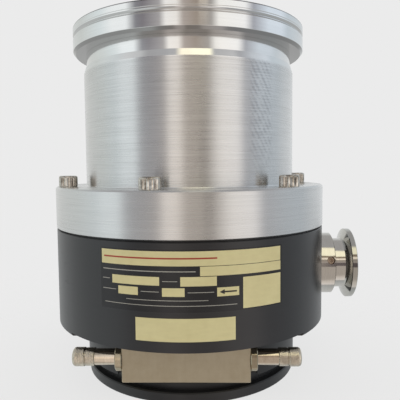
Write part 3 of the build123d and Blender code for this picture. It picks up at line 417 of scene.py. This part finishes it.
m_inner = turned_metal("bore_turned", (0.72, 0.72, 0.71), (0.60, 0.60, 0.59), 0.34, 0.06, line=2200.0, line_bump=0.000006)
m_blades = turned_metal("milled_aluminium", (0.74, 0.75, 0.76), (0.62, 0.63, 0.64), 0.33, 0.06, line=2200.0, line_bump=0.00001)
m_black = coated("black_anodised", (0.009, 0.009, 0.011), (0.015, 0.015, 0.017), 0.30, 0.05, spec=0.68)
m_base = coated("black_satin", (0.008, 0.008, 0.009), (0.015, 0.015, 0.016), 0.38, 0.06, spec=0.55)
m_port = port_metal()
m_grub = sintered("set_screw_steel", (0.52, 0.42, 0.34), (0.34, 0.26, 0.20), 0.30, 1.0, grain=900.0, depth=0.00001)
m_barb = barb_metal()
m_fitting = turned_metal("fitting_nickel", (0.74, 0.71, 0.66), (0.58, 0.55, 0.50), 0.22, 0.05, line=2600.0, line_bump=0.000004)
m_block = block_metal()
m_screw = screw_metal()
m_cream = label_film("label_cream", lin((194, 186, 141), 1.42), lin((184, 175, 130), 1.42), 0.36)
m_plate = label_film("label_black", (0.016, 0.016, 0.018), (0.010, 0.010, 0.012), 0.22)
m_red = label_film("label_red", lin((176, 62, 44)), lin((160, 52, 38)), 0.38)
m_white = label_film("label_white", lin((176, 174, 166)), lin((160, 158, 150)), 0.40)
m_ink = label_film("label_ink", (0.014, 0.013, 0.011), (0.022, 0.020, 0.017), 0.40)
m_steel = turned_metal("ground_steel", (0.70, 0.70, 0.69), (0.58, 0.58, 0.57), 0.22, 0.05, line=2600.0, line_bump=0.000004)
m_screen = sintered("etched_screen", (0.56, 0.56, 0.55), (0.42, 0.42, 0.41), 0.34, 1.0, grain=1200.0, depth=0.000006)
m_magnet = sintered("magnet_alloy", (0.40, 0.40, 0.42), (0.28, 0.28, 0.30), 0.42, 1.0)
m_lam = turned_metal("lamination_edges", (0.36, 0.36, 0.37), (0.16, 0.16, 0.17), 0.42, 0.06, line=5200.0, line_bump=0.00003)
m_ceramic = coated("ceramic_polished", (0.05, 0.05, 0.055), (0.09, 0.09, 0.10), 0.10, 0.03, spec=0.7)
m_cage = coated("cage_resin", (0.42, 0.26, 0.10), (0.52, 0.34, 0.15), 0.45, 0.06)
m_rubber = coated("rubber_black", (0.010, 0.010, 0.010), (0.020, 0.020, 0.020), 0.62, 0.06, spec=0.35)
m_plastic = coated("plastic_black", (0.012, 0.012, 0.013), (0.022, 0.022, 0.022), 0.40, 0.06, grain=500.0)
m_gold = sintered("gold_plate", (0.92, 0.68, 0.30), (0.80, 0.56, 0.22), 0.18, 1.0, grain=2000.0, depth=0.000002)

t = Tree("winding_copper")
r, s, a = t.rings("Z")
strand = t.noise(t.vec(t.math("MULTIPLY", r, 900.0), t.math("MULTIPLY", s, 900.0), t.math("MULTIPLY", a, 4.0)), 1.0, 2.0, 0.5)
t.put(t.bsdf.inputs["Base Color"], t.ramp(strand, [(0.3, (0.28, 0.10, 0.03)), (0.7, (0.62, 0.26, 0.10))]))
t.bsdf.inputs["Metallic"].default_value = 0.8
t.put(t.bsdf.inputs["Roughness"], t.lerp(strand, 0.28, 0.45))
t.put(t.bsdf.inputs["Normal"], t.bump(strand, 0.00025))
m_copper = t.mat

for node_name, m in {
    "envelope": envelope_metal(), "bearing_spider": m_blades, "spider_cap": m_blades, "stator_row_1": m_blades, "stator_row_2": m_blades,
    "stator_row_3": m_blades, "spacer_ring_1": m_inner, "spacer_ring_2": m_inner, "spacer_ring_3": m_inner, "spacer_ring_4": m_inner,
    "drag_stator": m_inner, "turbo_rotor": m_blades, "motor_housing": m_inner, "bearing_holder": m_inner, "bearing_retainer": m_inner,
    "body_housing": m_black, "base_housing": m_base, "base_plate": m_base, "exhaust_port": m_port, "hose_barb_left": m_barb,
    "hose_barb_right": m_barb, "vent_valve_body": m_fitting, "purge_plug": m_fitting, "connector_shell": m_fitting, "water_block": m_block,
    "envelope_screws": m_screw, "exhaust_set_screw": m_grub, "base_plate_screws": m_screw, "base_housing_screws": m_screw,
    "bearing_holder_screws": m_screw, "water_block_screws": m_screw, "connector_screws": m_screw, "inlet_screen": m_screen,
    "screen_clip": m_screen, "rotor_shaft": m_steel, "shaft_nut": m_steel, "vent_stem": m_steel, "preload_spring": m_steel,
    "bearing_inner_race": m_steel, "bearing_outer_race": m_steel, "touchdown_outer_race": m_steel, "touchdown_inner_race": m_steel,
    "bearing_balls": m_ceramic, "touchdown_balls": m_ceramic, "bearing_cage": m_cage, "stator_magnets": m_magnet,
    "rotor_magnets": m_magnet, "motor_magnet": m_magnet, "motor_laminations": m_lam, "motor_windings": m_copper,
    "envelope_oring": m_rubber, "damper_rings": m_rubber, "exhaust_oring": m_rubber, "base_oring": m_rubber, "vent_seal": m_rubber,
    "vent_knob": m_plastic, "connector_insert": m_plastic, "connector_pins": m_gold, "nameplate_main": m_plate, "nameplate_lower": m_cream,
}.items():
    obj = nodes_cad[node_name]
    obj.data.materials.clear()
    obj.data.materials.append(m)


# ------------------------------------------------------------------ collar screws
# knurled socket heads with rolled rims and hex sockets, on their shanks
screw_lo, screw_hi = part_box("envelope_screws")
PITCH_R, HEAD_R, HEAD_H = 69.5, 5.0, 6.0
seat_z = screw_hi[2] / MM - HEAD_H
shank_end = screw_lo[2] / MM


def cap_screw(cx, cy, phase):
    """Verts and faces of one screw, in millimetres."""
    verts, faces = [], []
    teeth = 24
    n = teeth * 4
    rows = [(seat_z, 4.70, 0.0), (seat_z + 0.25, 4.92, 0.3), (seat_z + 0.6, 5.0, 1.0), (seat_z + 4.75, 5.0, 1.0),
            (seat_z + 5.2, 4.96, 0.35), (seat_z + 5.62, 4.78, 0.0), (seat_z + 5.9, 4.45, 0.0), (seat_z + 6.0, 4.05, 0.0)]
    for z, r, knurl in rows:
        for i in range(n):
            th = phase + 2 * math.pi * i / n
            dip = (0.0, 0.17, 0.36, 0.17)[i % 4] * knurl
            verts.append((cx + (r - dip) * math.cos(th), cy + (r - dip) * math.sin(th), z))
    for k in range(len(rows) - 1):
        for i in range(n):
            j = (i + 1) % n
            faces.append((k * n + i, k * n + j, (k + 1) * n + j, (k + 1) * n + i))

    def hex_r(th, flat):
        w = (th - phase) % (math.pi / 3) - math.pi / 6
        return flat / math.cos(w)

    last = (len(rows) - 1) * n
    for z, flat, blend in ((seat_z + 5.95, 2.72, 0.0), (seat_z + 5.5, 2.5, 1.0), (seat_z + 2.8, 2.5, 1.0), (seat_z + 2.3, 1.2, 0.0)):
        base = len(verts)
        for i in range(n):
            th = phase + 2 * math.pi * i / n
            r = hex_r(th, flat) if blend else flat * 1.08
            verts.append((cx + r * math.cos(th), cy + r * math.sin(th), z))
        for i in range(n):
            j = (i + 1) % n
            faces.append((last + i, last + j, base + j, base + i))
        last = base
    faces.append(tuple(range(last, last + n)))
    prev = 0
    for z, r in ((seat_z, 2.95), (shank_end + 0.6, 2.95), (shank_end, 2.4)):
        base = len(verts)
        for i in range(n):
            th = phase + 2 * math.pi * i / n
            verts.append((cx + r * math.cos(th), cy + r * math.sin(th), z))
        for i in range(n):
            j = (i + 1) % n
            faces.append((prev + j, prev + i, base + i, base + j))
        prev = base
    faces.append(tuple(reversed(range(prev, prev + n))))
    return verts, faces


all_v, all_f = [], []
for k in range(6):
    az = math.radians(-102.6 + 60 * k)
    v, f = cap_screw(PITCH_R * math.cos(az), PITCH_R * math.sin(az), 0.37 * k + 0.2)
    off = len(all_v)
    all_v += [(x * MM, y * MM, z * MM) for x, y, z in v]
    all_f += [tuple(i + off for i in face) for face in f]
screws = tidy(link("collar_cap_screws", all_v, all_f, [m_screw]), 28.0)
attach(screws, "pump_body")
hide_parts("envelope_screws")

# ------------------------------------------------------------------ name plate printing
FILM_IN, FILM_OUT = 76.205, 76.262


def film(name, shapes, material, r0=FILM_IN, r1=FILM_OUT):
    """Thin patches wrapped on the plate. Each shape is a flat outline of (angle from the front, height)."""
    verts, faces = [], []
    for outline in shapes:
        cols = sorted({a for a, _ in outline})
        grid = []
        span = [cols[0]]
        for c in cols[1:]:
            k = max(1, int(math.ceil((c - span[-1]) / 1.0)))
            span += [span[-1] + (c - span[-1]) * (j + 1) / k for j in range(k)]
        for a in span:
            zs = []
            m = len(outline)
            for i in range(m):
                (a0, z0), (a1, z1) = outline[i], outline[(i + 1) % m]
                if abs(a1 - a0) < 1e-9:
                    if abs(a - a0) < 1e-9:
                        zs += [z0, z1]
                elif min(a0, a1) - 1e-9 <= a <= max(a0, a1) + 1e-9:
                    zs.append(z0 + (z1 - z0) * (a - a0) / (a1 - a0))
            grid.append((a, min(zs), max(zs)))
        base = len(verts)
        for a, lo, hi in grid:
            th = math.radians(a)
            for r, z in ((r0, lo), (r0, hi), (r1, hi), (r1, lo)):
                verts.append((r * math.sin(th) * MM, -r * math.cos(th) * MM, z * MM))
        for j in range(len(grid) - 1):
            p, q = base + 4 * j, base + 4 * (j + 1)
            for i in range(4):
                k = (i + 1) % 4
                faces.append((p + i, p + k, q + k, q + i))
        faces.append((base, base + 1, base + 2, base + 3))
        e = base + 4 * (len(grid) - 1)
        faces.append((e + 3, e + 2, e + 1, e))
    obj = tidy(link(name, verts, faces, [material]), 30.0, 1e-8)
    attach(obj, "pump_body")
    return obj


def box(a0, a1, z0, z1):
    return [(a0, z0), (a1, z0), (a1, z1), (a0, z1)]


film("plate_fields", [
    box(-29.9, 35.9, 71.0, 77.6), box(5.7, 36.0, 66.5, 70.75), box(-25.5, -8.0, 62.2, 66.1), box(-0.9, 11.3, 62.0, 66.2),
    box(-23.1, -15.6, 57.5, 61.2), box(-7.1, 0.5, 57.35, 61.2), box(11.4, 19.1, 57.1, 61.1), box(20.6, 36.0, 50.8, 65.1),
], m_cream)
film("plate_rules", [
    box(-29.4, 4.2, 68.35, 68.75), box(-29.6, -26.6, 64.0, 64.3), box(-7.0, -1.9, 64.0, 64.3), box(-29.6, -24.0, 59.2, 59.5),
    box(-14.6, -8.2, 59.2, 59.5), box(1.5, 10.4, 59.0, 59.3), box(-20.0, 8.4, 55.35, 55.65), box(-28.8, 18.4, 52.95, 53.25),
], m_white)
film("plate_stripe", [box(-28.9, 11.5, 74.05, 74.75)], m_red, FILM_OUT, FILM_OUT + 0.02)
film("rotation_arrow", [[(12.2, 59.1), (14.0, 58.0), (14.0, 60.2)], box(13.9, 18.3, 58.75, 59.45)], m_ink, FILM_OUT, FILM_OUT + 0.02)

# ------------------------------------------------------------------ surroundings
def build_world():
    """A bright tent with darker gaps between its panels; what the turned metal mirrors."""
    world = bpy.data.worlds.new("studio")
    scene.world = world
    world.use_nodes = True
    t = world.node_tree
    t.nodes.clear()
    new, link_ = t.nodes.new, t.links.new
    co = new("ShaderNodeTexCoord")
    sep = new("ShaderNodeSeparateXYZ")
    link_(co.outputs["Generated"], sep.inputs[0])

    def put(sock, v):
        if isinstance(v, bpy.types.NodeSocket):
            link_(v, sock)
        else:
            sock.default_value = v

    def m(op, a, b=0.0):
        n = new("ShaderNodeMath")
        n.operation = op
        put(n.inputs[0], a)
        put(n.inputs[1], b)
        return n.outputs[0]

    def ramp(fac, stops):
        n = new("ShaderNodeValToRGB")
        e = n.color_ramp.elements
        while len(e) < len(stops):
            e.new(0.5)
        for el, (p, c) in zip(e, stops):
            el.position = p
            el.color = (*c, 1.0) if isinstance(c, tuple) else (c, c, c, 1.0)
        link_(fac, n.inputs[0])
        return n.outputs[0]

    def mix(fac, a, b):
        n = new("ShaderNodeMix")
        n.data_type = "RGBA"
        for sock, v in ((n.inputs[0], fac), (n.inputs[6], a), (n.inputs[7], b)):
            put(sock, (*v, 1.0) if isinstance(v, tuple) else v)
        return n.outputs[2]

    # direction round the pump, 0 in front and positive to the right, and height above it, in degrees
    around = m("MULTIPLY", m("ARCTAN2", sep.outputs[0], m("MULTIPLY", sep.outputs[1], -1.0)), 180 / math.pi)
    height = m("MULTIPLY", m("ARCSINE", sep.outputs[2]), 180 / math.pi)
    place = m("DIVIDE", m("ADD", around, 180.0), 360.0)
    tent = ramp(place, [((d + 180) / 360, lin(c, 1 / 0.86)) for d, c in PANELS])
    low = ramp(place, [((d + 180) / 360, lin(c, 1 / 0.80)) for d, c in LOW_PANELS])
    mid = ramp(place, [((d + 180) / 360, lin(c, 1 / 0.76)) for d, c in MID_PANELS])
    rise = ramp(m("DIVIDE", m("ADD", height, 90.0), 180.0), [(0.0, 0.0), (80 / 180, 0.0), (86 / 180, 1.0), (1.0, 1.0)])
    rise2 = ramp(m("DIVIDE", m("ADD", height, 90.0), 180.0), [(0.0, 0.0), (101 / 180, 0.0), (104.5 / 180, 1.0), (1.0, 1.0)])
    sky = mix(rise2, mix(rise, low, mid), tent)
    # the ceiling, and a warm lamp high in front
    over = ramp(m("DIVIDE", m("ADD", height, 90.0), 180.0), [(0.0, 0.0), (118 / 180, 0.0), (136 / 180, 1.0), (1.0, 1.0)])
    sky = mix(over, sky, CEILING)
    lamp_w = ramp(m("DIVIDE", m("ABSOLUTE", m("SUBTRACT", around, 5.0)), 180.0), [(0.0, 1.0), (11 / 180, 1.0), (19 / 180, 0.0), (1.0, 0.0)])
    lamp_h = ramp(m("DIVIDE", m("ADD", height, 90.0), 180.0), [(0.0, 0.0), (125 / 180, 0.0), (128 / 180, 1.0), (158 / 180, 1.0), (164 / 180, 0.0)])
    sky = mix(m("MULTIPLY", lamp_w, lamp_h), sky, LAMP)
    slot_w = ramp(m("DIVIDE", m("ABSOLUTE", m("SUBTRACT", around, 19.0)), 180.0), [(0.0, 1.0), (10 / 180, 1.0), (16 / 180, 0.0), (1.0, 0.0)])
    slot_h = ramp(m("DIVIDE", m("ADD", height, 90.0), 180.0), [(0.0, 0.0), (124.5 / 180, 0.0), (126 / 180, 1.0), (154 / 180, 1.0), (157 / 180, 0.0)])
    sky = mix(m("MULTIPLY", slot_w, slot_h), sky, SLOT)
    # the stand of that lamp: a dark bar, its pale shelf and a dark foot
    bar_w = ramp(m("DIVIDE", m("ABSOLUTE", m("SUBTRACT", around, 16.8)), 180.0), [(0.0, 1.0), (3.2 / 180, 1.0), (5.2 / 180, 0.0), (1.0, 0.0)])
    for lo, hi, shade in ((28.0, 34.5, BAR), (20.5, 27.0, SHELF), (-6.0, 8.0, FOOT)):
        band = ramp(m("DIVIDE", m("ADD", height, 90.0), 180.0), [(0.0, 0.0), ((89 + lo) / 180, 0.0), ((90.5 + lo) / 180, 1.0), ((89.5 + hi) / 180, 1.0), ((91 + hi) / 180, 0.0)])
        sky = mix(m("MULTIPLY", bar_w, band), sky, shade)
    back = new("ShaderNodeBackground")
    put(back.inputs[0], sky)
    plain = new("ShaderNodeBackground")
    plain.inputs[0].default_value = (*lin((235, 235, 235)), 1.0)
    path = new("ShaderNodeLightPath")
    pick = new("ShaderNodeMixShader")
    link_(path.outputs["Is Camera Ray"], pick.inputs[0])
    link_(back.outputs[0], pick.inputs[1])
    link_(plain.outputs[0], pick.inputs[2])
    out = new("ShaderNodeOutputWorld")
    link_(pick.outputs[0], out.inputs[0])


PANELS = [
    (-180, (204, 205, 205)), (-122, (195, 199, 197)), (-88, (212, 220, 222)), (-73, (232, 235, 236)),
    (-57, (232, 235, 236)), (-47, (126, 126, 131)), (-40, (118, 114, 119)), (-24, (160, 157, 158)),
    (-18, (232, 230, 228)), (-8, (230, 226, 222)), (-2, (168, 158, 152)), (10, (149, 137, 126)),
    (24, (162, 158, 154)), (31, (238, 236, 232)), (57, (238, 238, 238)), (66, (158, 160, 168)),
    (84, (212, 221, 231)), (102, (212, 221, 231)), (113, (188, 198, 206)), (180, (204, 205, 205)),
]
LOW_PANELS = [
    (-180, (190, 191, 191)), (-88, (192, 196, 196)), (-57, (204, 208, 208)), (-46, (168, 167, 166)),
    (-26, (172, 167, 163)), (-18, (214, 206, 201)), (-7, (206, 198, 192)), (0, (170, 162, 155)),
    (22, (168, 161, 155)), (30, (206, 199, 193)), (57, (222, 218, 216)), (66, (168, 167, 168)),
    (100, (168, 172, 174)), (180, (190, 191, 191)),
]
MID_PANELS = [
    (-180, (204, 205, 205)), (-135, (192, 193, 191)), (-100, (192, 196, 194)), (-80, (198, 206, 208)),
    (-70, (220, 228, 231)), (-57, (220, 228, 231)), (-50, (160, 162, 166)), (-30, (157, 155, 157)),
    (-22, (170, 164, 160)), (-17, (236, 227, 218)), (-8, (236, 226, 216)), (-1, (172, 163, 156)),
    (22, (158, 150, 144)), (30, (206, 200, 194)), (36, (240, 234, 228)), (54, (238, 233, 229)),
    (64, (170, 171, 174)), (84, (170, 176, 181)), (105, (174, 181, 187)), (122, (192, 196, 199)), (180, (204, 205, 205)),
]
CEILING = lin((174, 174, 176), 1.05)
LAMP = lin((255, 246, 222), 1.25)
SLOT = lin((250, 245, 219), 1.36)
BAR = lin((150, 134, 114))
SHELF = lin((250, 238, 220), 1.25)
FOOT = lin((100, 92, 94))
build_world()

FLOOR_GLOW = 0.87
floor_mesh = bpy.data.meshes.new("studio_floor")
bm = bmesh.new()
bmesh.ops.create_circle(bm, cap_ends=True, segments=128, radius=0.34)
bm.to_mesh(floor_mesh)
bm.free()
floor = bpy.data.objects.new("studio_floor", floor_mesh)
floor.location = (0, 0, -0.0002)
scene.collection.objects.link(floor)
t = Tree("pale_floor")
t.put(t.bsdf.inputs["Base Color"], lin((112, 112, 112)))
t.bsdf.inputs["Roughness"].default_value = 0.9
t.bsdf.inputs["Specular IOR Level"].default_value = 0.1
t.put(t.bsdf.inputs["Emission Color"], lin((235, 235, 235)))
t.bsdf.inputs["Emission Strength"].default_value = FLOOR_GLOW
# the floor fades into the tent a hand's breadth from the pump
r, _, _ = t.rings("Z")
fade = t.t.nodes.new("ShaderNodeMixShader")
clear = t.t.nodes.new("ShaderNodeBsdfTransparent")
edge = t.node("ShaderNodeMapRange", 0, i0=r, i1=0.09, i2=0.30)
t.put(fade.inputs[0], edge)
t.t.links.new(t.bsdf.outputs[0], fade.inputs[1])
t.t.links.new(clear.outputs[0], fade.inputs[2])
t.t.links.new(fade.outputs[0], t.out.inputs["Surface"])
floor_mesh.materials.append(t.mat)
floor.visible_glossy = False
